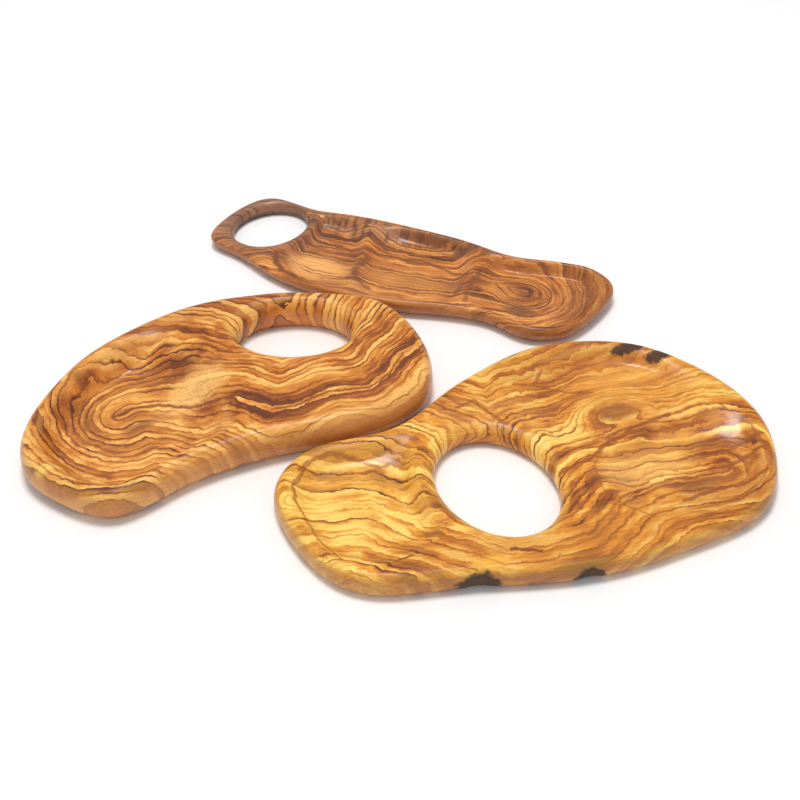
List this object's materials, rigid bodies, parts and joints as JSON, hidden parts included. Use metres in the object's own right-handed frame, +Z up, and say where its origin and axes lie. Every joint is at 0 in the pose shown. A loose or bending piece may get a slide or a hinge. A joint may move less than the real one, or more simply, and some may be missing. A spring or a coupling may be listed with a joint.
{
  "type": "olive dish set",
  "caption": "Free-form serving dishes carved from solid olive wood, each with scooped hollows, a rolled rim, a flat base and a finger hole to carry it, laid out as a set.",
  "frame": {"origin": "centre of the set's footprint, on the table under the flat bases", "axes": "+X to the viewer's right along the set's longest side, +Y away from the viewer, +Z up"},
  "size_m": [0.5213, 0.4065, 0.028],
  "materials": {
    "golden_olive_wood": "oiled olive wood, golden yellow to orange-brown with fine dark growth lines, polished by hand",
    "striped_olive_wood": "oiled olive wood with bold dark and light stripes that swirl in the hollow, polished by hand",
    "brown_olive_wood": "oiled olive wood, orange-brown with dark streaks along its length, polished by hand"
  },
  "bodies": {
    "front_dish": {"front_dish": "golden_olive_wood"},
    "left_dish": {"left_dish": "striped_olive_wood"},
    "back_dish": {"back_dish": "brown_olive_wood"}
  },
  "joints": [
    {"name": "left_lift", "type": "slide", "parent": "front_dish", "child": "left_dish", "axis": [0, 0, 1], "range_m": [0, 0.1]},
    {"name": "back_lift", "type": "slide", "parent": "front_dish", "child": "back_dish", "axis": [0, 0, 1], "range_m": [0, 0.1]}
  ]
}
